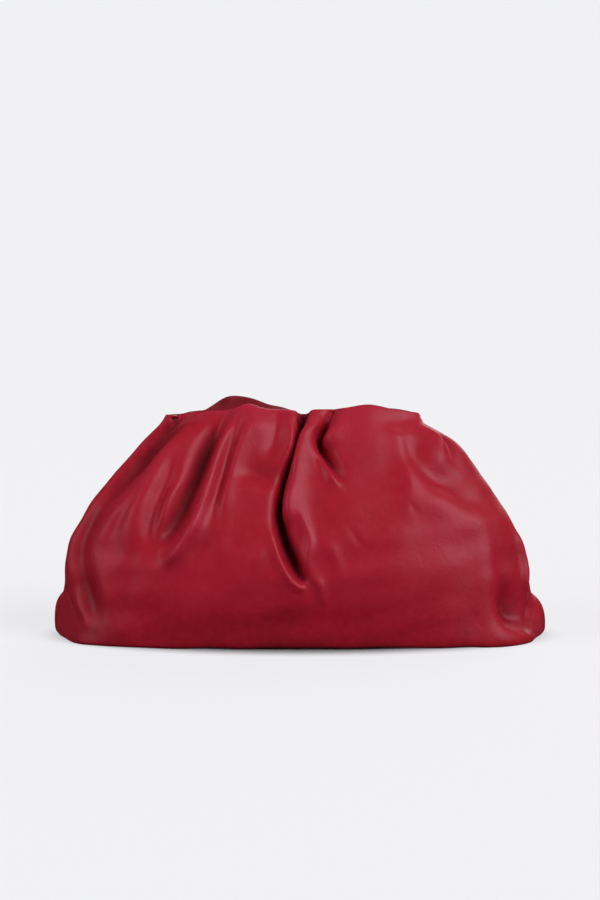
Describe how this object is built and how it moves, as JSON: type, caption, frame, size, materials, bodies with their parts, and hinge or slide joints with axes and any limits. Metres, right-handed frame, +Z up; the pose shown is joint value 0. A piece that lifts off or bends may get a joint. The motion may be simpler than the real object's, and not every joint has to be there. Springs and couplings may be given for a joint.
{
  "type": "gathered leather pouch bag",
  "caption": "Soft leather clutch pouch, gathered into a hidden frame mouth at the top, standing on a flat base with two flattened corners.",
  "frame": {"origin": "middle of the bounding box at the base, on the surface that the pouch stands on", "axes": "+X across the width to the right seen from the front, +Y from the front panel to the back panel, +Z up"},
  "size_m": [0.3917, 0.1614, 0.1893],
  "materials": {
    "leather": "smooth nappa leather with a soft sheen",
    "frame": "satin"
  },
  "bodies": {
    "root": {"front_panel": "leather", "back_panel": "leather", "front_facing": "leather", "back_facing": "leather", "closure_frame": "frame"}
  },
  "joints": []
}
